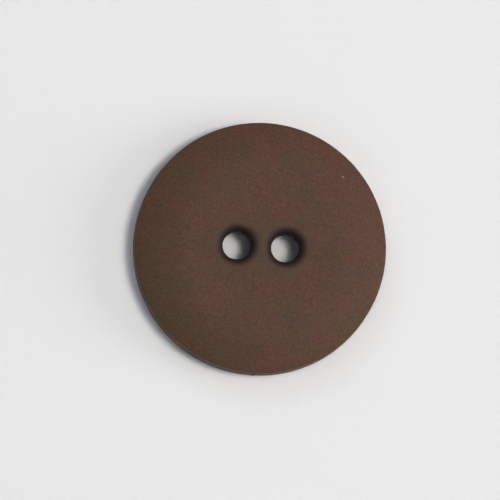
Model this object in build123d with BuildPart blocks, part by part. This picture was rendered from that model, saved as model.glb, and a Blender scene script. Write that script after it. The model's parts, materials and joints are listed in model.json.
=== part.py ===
from build123d import *
import os
from math import radians, tan

# Two-hole sew-on button, moulded in one shot of matte plastic. Millimetres and degrees.
# Frame: +Z up through the face, +X along the line through the two thread holes.
# The origin is the middle of the flat back, so the button rests on Z = 0.

# Disc
button_diameter = 20.0  # widest, at the parting line
centre_thickness = 3.1
plateau_diameter = 11.2  # flat middle of the face, inside the rounded shoulder
shoulder_drop = 1.0  # how far the rounded shoulder falls from the plateau to the arris
parting_height = 0.6  # height of the mould's parting line on the side wall
draft_angle = 1.0  # the wall leans in by this above and below the parting line
arris_radius = 0.12
back_edge_radius = 0.3

# Thread holes
hole_diameter = 2.2
hole_pitch = 3.85  # between the two axes
mouth_share = 0.48  # rounding of each mouth in the face, as a share of the web between the holes
throat_length = 0.5  # the straight part of each hole, just under its mouth
flare_share = 0.27  # how far each hole then widens to the back, as a share of the web
back_mouth_radius = 0.15

# Gate mark: where the moulding was cut from its runner, square to the line of holes
land_depth = 0.03  # the trimmed flat, measured in from the widest diameter
nib_diameter = 0.4
nib_proud = 0.05  # how far the torn stub stands out from the trimmed flat
nib_edge_radius = 0.02

button_radius = button_diameter / 2
hole_radius = hole_diameter / 2
rim_height = centre_thickness - shoulder_drop
lean = tan(radians(draft_angle))
back_corner = (button_radius - lean * parting_height, 0)
widest_point = (button_radius, parting_height)
arris_corner = (button_radius - lean * (rim_height - parting_height), rim_height)
plateau_edge = (plateau_diameter / 2, centre_thickness)
web = hole_pitch - hole_diameter
mouth_radius = mouth_share * web
throat_foot = centre_thickness - mouth_radius - throat_length
back_hole_radius = hole_radius + flare_share * web
flare_seat = (Align.CENTER, Align.CENTER, Align.MIN)
land_plane = Plane.XZ.offset(button_radius - land_depth)
same_size = 1e-6  # two sizes closer than this are the same


def level_circles(part, height):
    """Every circular edge that lies level at this height."""
    circles = part.edges().filter_by(GeomType.CIRCLE)
    return circles.filter_by_position(Axis.Z, height - same_size, height + same_size)


def rim_edge(part, height):
    """The widest circle round the button's axis at this height."""
    return level_circles(part, height).sort_by(SortBy.RADIUS)[-1]


def hole_mouths(part, height, radius):
    """The two circles where the thread holes meet the face or the back."""
    circles = level_circles(part, height)
    return circles.filter_by(lambda edge: abs(edge.radius - radius) < same_size)


with BuildPart() as button:
    # Half section: flat back, drafted wall with its parting line, rounded shoulder, flat plateau.
    with BuildSketch(Plane.XZ):
        with BuildLine():
            Polyline(plateau_edge, (0, centre_thickness), (0, 0), back_corner, widest_point, arris_corner)
            TangentArc(plateau_edge, arris_corner, tangent=(1, 0))
        make_face()
    revolve(axis=Axis.Z)
    fillet(rim_edge(button.part, rim_height), arris_radius)
    fillet(rim_edge(button.part, 0), back_edge_radius)

    # Thread holes: a rounded mouth so that the thread doesn't chafe, a short throat, a flare to the back.
    with Locations((-hole_pitch / 2, 0), (hole_pitch / 2, 0)):
        Hole(hole_radius)
        Cone(back_hole_radius, hole_radius, throat_foot, align=flare_seat, mode=Mode.SUBTRACT)
    fillet(hole_mouths(button.part, centre_thickness, hole_radius), mouth_radius)
    fillet(hole_mouths(button.part, 0, back_hole_radius), back_mouth_radius)

    # Gate mark: a trimmed flat on the parting line, with the stub of the gate left in its middle.
    with BuildSketch(land_plane):
        Rectangle(button_diameter, 2 * centre_thickness)
    extrude(amount=land_depth, mode=Mode.SUBTRACT)
    with BuildSketch(land_plane):
        with Locations((0, parting_height)):
            Circle(nib_diameter / 2)
    extrude(amount=nib_proud)
    fillet(button.edges().sort_by(Axis.Y)[0], nib_edge_radius)

button.part.label = "button"
os.makedirs("parts", exist_ok=True)
export_step(button.part, "parts/button.step")
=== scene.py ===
import json
from math import asin, cos, hypot, pi, radians, sin, sqrt, tan

import bmesh
import bpy
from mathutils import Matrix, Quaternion, Vector, noise


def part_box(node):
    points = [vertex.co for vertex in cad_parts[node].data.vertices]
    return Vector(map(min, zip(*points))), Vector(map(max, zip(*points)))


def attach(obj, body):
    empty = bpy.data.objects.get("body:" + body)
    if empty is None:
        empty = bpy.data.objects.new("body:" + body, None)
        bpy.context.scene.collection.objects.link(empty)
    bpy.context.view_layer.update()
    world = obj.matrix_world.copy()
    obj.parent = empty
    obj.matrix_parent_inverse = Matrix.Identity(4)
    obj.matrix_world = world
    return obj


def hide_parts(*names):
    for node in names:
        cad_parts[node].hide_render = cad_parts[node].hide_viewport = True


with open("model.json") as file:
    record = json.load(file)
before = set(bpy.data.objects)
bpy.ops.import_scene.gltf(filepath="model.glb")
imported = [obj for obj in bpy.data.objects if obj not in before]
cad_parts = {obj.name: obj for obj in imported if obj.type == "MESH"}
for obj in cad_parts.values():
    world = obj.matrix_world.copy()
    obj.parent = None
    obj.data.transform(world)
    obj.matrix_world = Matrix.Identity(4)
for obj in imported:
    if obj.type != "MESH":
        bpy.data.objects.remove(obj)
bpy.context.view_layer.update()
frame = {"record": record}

mm = 0.001

# the frame gives the disc's size and the two thread holes
low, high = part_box("button")
discRadius = (high.x - low.x) / 2
thickness = high.z - low.z
hole = next(m for m in frame["record"]["mounts"] if m["name"] == "thread_hole_right")
holeOffset = hole["pos_m"][0]  # from the button's axis to the hole's
holeRadius = hole["dims"]["r_mm"] * mm
throatTop = hole["pos_m"][2] + hole["dims"]["length_mm"] * mm / 2
throatFoot = hole["pos_m"][2] - hole["dims"]["length_mm"] * mm / 2
print("frame: disc radius", round(discRadius / mm, 3), "thickness", round(thickness / mm, 3))

cameraView = {
    "lean": radians(8.7),  # how far the line of sight leans off the button's axis
    "leanTowards": radians(-117.1),  # the side it leans to, round from +X
    "roll": radians(30.2),
    "distance": 450 * mm,
    "frameWidth": 39.60 * mm,  # what the picture spans at the button
    "aim": Vector((-0.76, -0.13, 1.2)) * mm,  # the point in the middle of the picture
}


def directionTo(azimuth, elevation):
    # a unit vector, azimuth round from +X and elevation up from the floor
    return Vector((cos(azimuth) * cos(elevation), sin(azimuth) * cos(elevation), sin(elevation)))


def makeCamera(view):
    data = bpy.data.cameras.new("camera")
    camera = bpy.data.objects.new("camera", data)
    bpy.context.scene.collection.objects.link(camera)
    back = directionTo(view["leanTowards"], pi / 2 - view["lean"])
    camera.location = view["aim"] + back * view["distance"]
    camera.rotation_mode = "QUATERNION"
    camera.rotation_quaternion = back.to_track_quat("Z", "Y") @ Quaternion((0, 0, 1), view["roll"])
    data.lens = data.sensor_width * view["distance"] / view["frameWidth"]
    data.clip_start = 10 * mm
    data.clip_end = 20
    bpy.context.scene.camera = camera


makeCamera(cameraView)
print("camera: done")


# short helpers for building node trees
def newMaterial(name):
    material = bpy.data.materials.new(name)
    material.use_nodes = True
    material.node_tree.nodes.clear()
    return material, material.node_tree


def addNode(tree, kind, values={}, **settings):
    # values go on the input sockets by name or number; a socket given as a value is linked
    made = tree.nodes.new(kind)
    for name, setting in settings.items():
        setattr(made, name, setting)
    for socket, value in values.items():
        if isinstance(value, bpy.types.NodeSocket):
            tree.links.new(value, made.inputs[socket])
        else:
            made.inputs[socket].default_value = value
    return made


def doMath(tree, operation, a, b=0.0):
    return addNode(tree, "ShaderNodeMath", {0: a, 1: b}, operation=operation).outputs[0]


noiseSpan = (0.3, 0.7)  # nearly all of a noise texture's values lie between these


def noiseValue(tree, coords, scale, detail=2.0, rough=0.5):
    values = {"Vector": coords, "Scale": scale, "Detail": detail, "Roughness": rough}
    return addNode(tree, "ShaderNodeTexNoise", values).outputs[0]


def remap(tree, value, fromLow, fromHigh, toLow=0.0, toHigh=1.0, smooth=False):
    kind = "SMOOTHSTEP" if smooth else "LINEAR"
    values = {0: value, 1: fromLow, 2: fromHigh, 3: toLow, 4: toHigh}
    return addNode(tree, "ShaderNodeMapRange", values, interpolation_type=kind).outputs[0]


def mixColor(tree, factor, a, b, blend="MIX"):
    made = addNode(tree, "ShaderNodeMix", {0: factor, 6: a, 7: b}, data_type="RGBA", blend_type=blend)
    return made.outputs[2]


plasticFinish = {
    "oliveBrown": (0.0690, 0.0372, 0.0185, 1),
    "redBrown": (0.0825, 0.0342, 0.0212, 1),
    "patchScale": 420,  # cloudy change of brown, per metre
    "patchSpan": (0.36, 0.64),  # the closer these are, the harder the patches' edges
    "redDrift": (9.0, 5.0, 0),  # per metre: the side the redder brown leans to
    "speckScale": 7000,
    "speckDepth": 0.34,
    "mouthPaintedShade": (0.018, 0.010, 0.009, 1),  # painted shade inside the thread holes and on their mouths
    "mouthShadeFull": 0.14 * mm,  # how far out of the throat the painted shade is full
    "mouthShadeReach": 0.78 * mm,  # and where it ends
    "haloBrownAndShade": (0.068, 0.0345, 0.0240, 1),  # a cooler, slightly darker brown round the mouths: partly a change of hue, partly painted shade
    "haloReach": 1.7 * mm,
    "haloStrength": 0.8,
    "fleckColor": (0.30, 0.19, 0.12, 1),
    "fleckAt": (6.22 * mm, 5.94 * mm, 0),  # one light speck of pigment on the shoulder
    "fleckRadius": 0.10 * mm,
    "tornBrownAndShade": (0.028, 0.017, 0.012, 1),  # the torn stub of the gate: duller torn plastic, darkened further with painted shade
    "tornAt": (0, -discRadius, 0.6 * mm),
    "tornRadius": 0.22 * mm,
    "roughness": 0.65,
    "roughnessSpread": 0.05,
    "sheenScale": 7000 / 6,
    "specular": 0.25,
    "grainScale": 9000,
    "grainHeight": 0.045 * mm,
    "orangePeelScale": 1400,
    "orangePeelHeight": 0.012 * mm,
}


def makePlastic(look):
    material, tree = newMaterial("buttonPlastic")
    coords = addNode(tree, "ShaderNodeTexCoord").outputs["Object"]

    # cloudy patches between two browns, with a finer speckle of pigment over them
    drift = addNode(tree, "ShaderNodeVectorMath", {0: coords, 1: look["redDrift"]}, operation="DOT_PRODUCT")
    cloud = doMath(tree, "ADD", noiseValue(tree, coords, look["patchScale"], 3), drift.outputs["Value"])
    patches = remap(tree, cloud, *look["patchSpan"], smooth=True)
    brown = mixColor(tree, patches, look["oliveBrown"], look["redBrown"])
    speck = noiseValue(tree, coords, look["speckScale"], 3, 0.6)
    shade = remap(tree, speck, *noiseSpan, 1 - look["speckDepth"], 1 + look["speckDepth"])
    brown = mixColor(tree, 1.0, brown, shade, "MULTIPLY")

    # a cooler, slightly darker brown round the thread holes, partly painted shade, and painted shade in
    # their mouths, judged by the distance from their axes
    split = addNode(tree, "ShaderNodeSeparateXYZ", {0: coords}).outputs
    across = doMath(tree, "SUBTRACT", doMath(tree, "ABSOLUTE", split[0]), holeOffset)
    flat = addNode(tree, "ShaderNodeCombineXYZ", {0: across, 1: split[1]}).outputs[0]
    fromAxis = addNode(tree, "ShaderNodeVectorMath", {0: flat}, operation="LENGTH").outputs["Value"]
    haloEnd = holeRadius + look["haloReach"]
    # partly painted shade: a little darker and cooler round the holes
    inHaloBrownAndShade = remap(tree, fromAxis, holeRadius, haloEnd, look["haloStrength"], 0, smooth=True)
    brown = mixColor(tree, inHaloBrownAndShade, brown, look["haloBrownAndShade"])
    # painted shade: the mouths and throats are darkened towards the hole axes
    shadeStart, shadeEnd = holeRadius + look["mouthShadeFull"], holeRadius + look["mouthShadeReach"]
    inMouthShade = remap(tree, fromAxis, shadeStart, shadeEnd, 1, 0, smooth=True)
    brown = mixColor(tree, inMouthShade, brown, look["mouthPaintedShade"])

    # the light speck
    level = addNode(tree, "ShaderNodeCombineXYZ", {0: split[0], 1: split[1]}).outputs[0]
    toFleck = addNode(tree, "ShaderNodeVectorMath", {0: level, 1: look["fleckAt"]}, operation="DISTANCE")
    inFleck = remap(tree, toFleck.outputs["Value"], 0.3 * look["fleckRadius"], look["fleckRadius"], 1, 0)
    brown = mixColor(tree, inFleck, brown, look["fleckColor"])

    # the torn stub of the gate, darker: partly duller torn plastic, partly painted shade
    toStub = addNode(tree, "ShaderNodeVectorMath", {0: coords, 1: look["tornAt"]}, operation="DISTANCE")
    inStubShade = remap(tree, toStub.outputs["Value"], 0.7 * look["tornRadius"], look["tornRadius"], 1, 0)
    brown = mixColor(tree, inStubShade, brown, look["tornBrownAndShade"])

    # matte moulded surface: a fine grain on a barely wavy skin
    grain = noiseValue(tree, coords, look["grainScale"], 3, 0.6)
    peel = noiseValue(tree, coords, look["orangePeelScale"], 2)
    wavy = addNode(tree, "ShaderNodeBump", {"Height": peel, "Distance": look["orangePeelHeight"]})
    grainy = addNode(tree, "ShaderNodeBump", {
        "Height": grain, "Distance": look["grainHeight"], "Normal": wavy.outputs[0]})
    sheen = noiseValue(tree, coords, look["sheenScale"], 2)
    dull, spread = look["roughness"], look["roughnessSpread"]
    rough = remap(tree, sheen, *noiseSpan, dull - spread, dull + spread)

    shader = addNode(tree, "ShaderNodeBsdfPrincipled", {
        "Base Color": brown, "Roughness": rough, "Specular IOR Level": look["specular"],
        "Normal": grainy.outputs[0]})
    addNode(tree, "ShaderNodeOutputMaterial", {"Surface": shader.outputs[0]})
    return material


discShape = {
    "plateauRadius": 5.6 * mm,
    "shoulderDrop": 1.0 * mm,
    "partingHeight": 0.6 * mm,
    "draft": radians(1),
    "arrisRadius": 0.12 * mm,
    "backEdgeRadius": 0.3 * mm,
    "backHoleRadius": 1.5455 * mm,  # the holes widen from the throat to the back
    "backMouthRadius": 0.15 * mm,
    "spokesOnArc": 144,  # mesh lines from each hole out to the rim
    "spokesOnMiddle": 92,  # and across the line midway between the holes
    "shoulderRings": 34,  # rings of mesh on each part of the outline, from the plateau outwards
    "edgeRings": 8,
    "upperWallRings": 14,
    "lowerWallRings": 3,
    "backRings": 20,
    "flatRings": 20,  # and from the plateau's edge in to the mouth, then through the hole
    "mouthRings": 12,
    "throatRings": 4,
    "flareRings": 8,
    "backMouthRings": 6,
    "crowding": 1.4,  # above 1 the flat rings crowd in towards the hole
    "waviness": 0.003 * mm,  # how far the moulded face strays from true
    "wavinessScale": 0.35 / mm,
    "weldGap": 0.002 * mm,
}


def roundedCorner(before, corner, after, radius, steps):
    # points of the arc that rounds the corner between two straight lines
    a, b = (before - corner).normalized(), (after - corner).normalized()
    half = a.angle(b) / 2
    middle = corner + (a + b).normalized() * radius / sin(half)
    spokeA = corner + a * radius / tan(half) - middle
    spokeB = corner + b * radius / tan(half) - middle
    sweep = spokeA.angle(spokeB)
    points = []
    for i in range(steps + 1):
        t = i / steps
        points.append(middle + (spokeA * sin((1 - t) * sweep) + spokeB * sin(t * sweep)) / sin(sweep))
    return points


def between(a, b, count):
    # count points after a, the last one at b
    return [a.lerp(b, (i + 1) / count) for i in range(count)]


def rimOutline(shape):
    # (radius, height) from the plateau's edge over the shoulder, down the wall and in along the back
    plateau = Vector((shape["plateauRadius"], thickness))
    parting = Vector((discRadius, shape["partingHeight"]))
    rimHeight = thickness - shape["shoulderDrop"]
    leanIn = tan(shape["draft"])
    arris = Vector((discRadius - leanIn * (rimHeight - parting.y), rimHeight))
    backCorner = Vector((discRadius - leanIn * parting.y, 0))
    backInner = Vector((shape["plateauRadius"], 0))

    span = arris.x - plateau.x
    shoulderRadius = (span ** 2 + shape["shoulderDrop"] ** 2) / (2 * shape["shoulderDrop"])
    fullAngle = asin(span / shoulderRadius)
    tangent = Vector((-cos(fullAngle), sin(fullAngle)))  # back up the shoulder from the arris
    arrisArc = roundedCorner(arris + tangent * mm, arris, parting, shape["arrisRadius"], shape["edgeRings"])
    lastAngle = fullAngle - (arrisArc[0] - arris).length / shoulderRadius

    outline = []
    for i in range(shape["shoulderRings"]):
        angle = lastAngle * i / shape["shoulderRings"]
        outline.append(plateau + Vector((sin(angle), cos(angle) - 1)) * shoulderRadius)
    outline += arrisArc
    outline += between(arrisArc[-1], parting, shape["upperWallRings"])
    backArc = roundedCorner(parting, backCorner, backInner, shape["backEdgeRadius"], shape["edgeRings"])
    outline += between(parting, backArc[0], shape["lowerWallRings"])[:-1]
    outline += backArc
    outline += between(backArc[-1], backInner, shape["backRings"])
    return outline


def spokeEnds(shape):
    # where the right-hand hole's mesh lines end: round the half circle, then down the middle line
    edge = shape["plateauRadius"]
    corner = Vector((-holeOffset, edge)).angle(Vector((1, 0)))  # seen from the hole's axis
    ends = []
    for i in range(shape["spokesOnArc"]):
        angle = -corner + 2 * corner * i / shape["spokesOnArc"]
        reach = -holeOffset * cos(angle) + sqrt(edge ** 2 - (holeOffset * sin(angle)) ** 2)
        ends.append(Vector((holeOffset + reach * cos(angle), reach * sin(angle))))
    for i in range(shape["spokesOnMiddle"]):
        angle = corner + (2 * pi - 2 * corner) * i / shape["spokesOnMiddle"]
        ends.append(Vector((0, holeOffset * tan(pi - angle))))
    return ends


def holeSock(shape):
    # closed rings from the plateau in to the mouth, down the throat and out along the back
    ends = spokeEnds(shape)
    axis = Vector((holeOffset, 0))
    spokes = [(end - axis).normalized() for end in ends]
    mouth = thickness - throatTop
    flareEnd = Vector((shape["backHoleRadius"], 0))
    backMouth = roundedCorner(Vector((holeRadius, throatFoot)), flareEnd, flareEnd + Vector((mm, 0)),
                              shape["backMouthRadius"], shape["backMouthRings"])

    def flatRing(share, rim, height):
        return [(axis + spoke * rim).lerp(end, share).to_3d() + Vector((0, 0, height))
                for spoke, end in zip(spokes, ends)]

    def roundRing(radius, height):
        return [(axis + spoke * radius).to_3d() + Vector((0, 0, height)) for spoke in spokes]

    flatCount, mouthCount, throatCount = shape["flatRings"], shape["mouthRings"], shape["throatRings"]
    crowding = shape["crowding"]
    flare = between(Vector((holeRadius, throatFoot)), backMouth[0], shape["flareRings"])[:-1]
    rings = []
    for i in range(flatCount):
        rings.append(flatRing((1 - i / flatCount) ** crowding, holeRadius + mouth, thickness))
    for i in range(mouthCount + 1):
        angle = pi / 2 * i / mouthCount
        rings.append(roundRing(holeRadius + mouth * (1 - sin(angle)), throatTop + mouth * cos(angle)))
    for i in range(1, throatCount + 1):
        rings.append(roundRing(holeRadius, throatTop + (throatFoot - throatTop) * i / throatCount))
    for point in flare + backMouth:
        rings.append(roundRing(point.x, point.y))
    for i in range(1, flatCount + 1):
        rings.append(flatRing((i / flatCount) ** crowding, backMouth[-1].x, 0))
    return rings


def addRings(mesh, rings):
    # closed rings of points, joined ring to ring by quads
    rows = [[mesh.verts.new(point) for point in ring] for ring in rings]
    for upper, lower in zip(rows, rows[1:]):
        for i in range(len(upper)):
            j = (i + 1) % len(upper)
            mesh.faces.new((upper[i], upper[j], lower[j], lower[i]))


gateMark = {
    "landDepth": 0.03 * mm,
    "height": 0.6 * mm,
    "radius": 0.2 * mm,
    "proud": 0.05 * mm,
    "reach": 1.0 * mm,  # how far round the rim the mesh is made finer
    "tear": 0.012 * mm,  # roughness of the torn stub
    "tearScale": 14 / mm,
    "edgeShare": 0.18,  # how much of the stub's radius its rounded edge takes
    "cuts": 7,  # mesh lines added across each face there
    "wallDepth": 0.3 * mm,  # the wall is what lies this near the widest radius
    "halfHeight": 0.45 * mm,  # how far up and down from the stub the mesh is made finer
}


def addGateMark(mesh, mark):
    # a trimmed flat on the wall, and the torn stub of the gate in its middle
    wall = -discRadius + mark["wallDepth"]

    def near(point):
        inBand = abs(point.z - mark["height"]) < mark["halfHeight"]
        return point.y < wall and abs(point.x) < mark["reach"] and inBand

    faces = [f for f in mesh.faces if near(f.calc_center_median())]
    edges = list({edge for f in faces for edge in f.edges})
    bmesh.ops.subdivide_edges(mesh, edges=edges, cuts=mark["cuts"], use_grid_fill=True)
    land = -(discRadius - mark["landDepth"])
    for vert in mesh.verts:
        point = vert.co
        if point.y > wall or abs(point.x) > mark["reach"]:
            continue
        point.y = max(point.y, land)
        off = hypot(point.x, point.z - mark["height"])
        if off < mark["radius"]:
            rise = min(1, (mark["radius"] - off) / (mark["edgeShare"] * mark["radius"]))
            torn = noise.noise(point * mark["tearScale"]) * mark["tear"]
            point.y -= (mark["proud"] + torn) * rise * rise * (3 - 2 * rise)


def makeButton(shape):
    mesh = bmesh.new()
    rightSock = holeSock(shape)
    addRings(mesh, rightSock)
    addRings(mesh, [[Vector((-p.x, p.y, p.z)) for p in reversed(ring)] for ring in rightSock])
    rightArc = spokeEnds(shape)[:shape["spokesOnArc"]]
    leftArc = [-end for end in rightArc]
    around = [end.normalized() for end in rightArc + leftArc]
    outer = []
    for radius, height in rimOutline(shape):
        outer.append([Vector((d.x * radius, d.y * radius, height)) for d in around])
    addRings(mesh, outer)
    bmesh.ops.remove_doubles(mesh, verts=mesh.verts, dist=shape["weldGap"])

    # the face of a moulding is never quite true
    for vert in mesh.verts:
        if vert.co.z > throatFoot:
            spot = Vector((vert.co.x, vert.co.y, 0)) * shape["wavinessScale"]
            vert.co.z += shape["waviness"] * noise.noise(spot)
    addGateMark(mesh, gateMark)
    bmesh.ops.recalc_face_normals(mesh, faces=mesh.faces)
    data = bpy.data.meshes.new("moulding")
    mesh.to_mesh(data)
    mesh.free()
    data.polygons.foreach_set("use_smooth", [True] * len(data.polygons))
    moulding = bpy.data.objects.new("moulding", data)
    bpy.context.scene.collection.objects.link(moulding)
    data.materials.append(makePlastic(plasticFinish))
    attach(moulding, "root")
    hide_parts("button")
    return moulding


button = makeButton(discShape)
print("button:", len(button.data.polygons), "faces")

paperLook = {
    "color": (0.752, 0.751, 0.764, 1),
    "halfWidth": 2.0,
    "drop": 0.01 * mm,  # just under the button's back
    "contactGap": 0.06 * mm,  # nearer than this the button and the paper count as touching
    "roughness": 0.95,
    "specular": 0.2,
    "fibreScale": 3500,
    "fibreHeight": 0.02 * mm,
    "soak": 1.0,  # light spreads sideways inside paper, which softens a small shadow
    "soakDepth": 0.9 * mm,
}


def makePaper(look):
    # a sheet of plain white paper, clear from below and to light that reaches the button's back
    material, tree = newMaterial("paper")
    coords = addNode(tree, "ShaderNodeTexCoord").outputs["Object"]
    fibres = noiseValue(tree, coords, look["fibreScale"], 4, 0.65)
    bump = addNode(tree, "ShaderNodeBump", {"Height": fibres, "Distance": look["fibreHeight"]})
    paper = addNode(tree, "ShaderNodeBsdfPrincipled", {
        "Base Color": look["color"], "Roughness": look["roughness"],
        "Specular IOR Level": look["specular"], "Normal": bump.outputs[0],
        "Subsurface Weight": look["soak"], "Subsurface Radius": (1, 1, 1),
        "Subsurface Scale": look["soakDepth"]}, subsurface_method="BURLEY")
    clear = addNode(tree, "ShaderNodeBsdfTransparent")
    fromBelow = addNode(tree, "ShaderNodeNewGeometry").outputs["Backfacing"]
    rayLength = addNode(tree, "ShaderNodeLightPath").outputs["Ray Length"]
    touching = doMath(tree, "LESS_THAN", rayLength, look["contactGap"])
    seeThrough = doMath(tree, "MAXIMUM", fromBelow, touching)
    mixed = addNode(tree, "ShaderNodeMixShader", {0: seeThrough, 1: paper.outputs[0], 2: clear.outputs[0]})
    addNode(tree, "ShaderNodeOutputMaterial", {"Surface": mixed.outputs[0]})

    size, z = look["halfWidth"], -look["drop"]
    data = bpy.data.meshes.new("paperFloor")
    corners = [(-size, -size, z), (size, -size, z), (size, size, z), (-size, size, z)]
    data.from_pydata(corners, [], [(0, 1, 2, 3)])
    floor = bpy.data.objects.new("paperFloor", data)
    bpy.context.scene.collection.objects.link(floor)
    data.materials.append(material)
    return floor


makePaper(paperLook)
print("floor: done")

# area lamps: degrees round and up, metres, watts
lampSet = {
    "key": {"azimuth": -3, "elevation": 72.5, "distance": 0.6, "size": 0.15,
            "watts": 2.35, "color": (1, 0.975, 0.89)},
    "side": {"azimuth": -4, "elevation": 17, "distance": 1.0, "size": 0.58,
             "watts": 4.9, "color": (1, 0.985, 0.96)},
    "behind": {"azimuth": 115, "elevation": 40, "distance": 0.6, "size": 0.35,
               "watts": 0.5, "color": (0.93, 0.96, 1)},
    "front": {"azimuth": 250, "elevation": 40, "distance": 0.6, "size": 0.35,
              "watts": 0.2, "color": (0.93, 0.96, 1)},
}
surroundings = {"color": (0.82, 0.86, 1.0, 1), "strength": 0.28}


def makeLamp(name, lamp):
    data = bpy.data.lights.new(name, "AREA")
    data.shape = "DISK"
    data.size = lamp["size"]
    data.energy = lamp["watts"]
    data.color = lamp["color"]
    made = bpy.data.objects.new(name, data)
    bpy.context.scene.collection.objects.link(made)
    away = directionTo(radians(lamp["azimuth"]), radians(lamp["elevation"]))
    made.location = away * lamp["distance"]
    made.rotation_mode = "QUATERNION"
    made.rotation_quaternion = away.to_track_quat("Z", "Y")


def makeSurroundings(look):
    world = bpy.data.worlds.new("surroundings")
    world.use_nodes = True
    world.node_tree.nodes.clear()
    tree = world.node_tree
    glow = addNode(tree, "ShaderNodeBackground", {"Color": look["color"], "Strength": look["strength"]})
    addNode(tree, "ShaderNodeOutputWorld", {"Surface": glow.outputs[0]})
    bpy.context.scene.world = world


for lampName, lampSettings in lampSet.items():
    makeLamp(lampName, lampSettings)
makeSurroundings(surroundings)
bpy.context.scene.view_settings.view_transform = "Standard"
print("lamps: done")
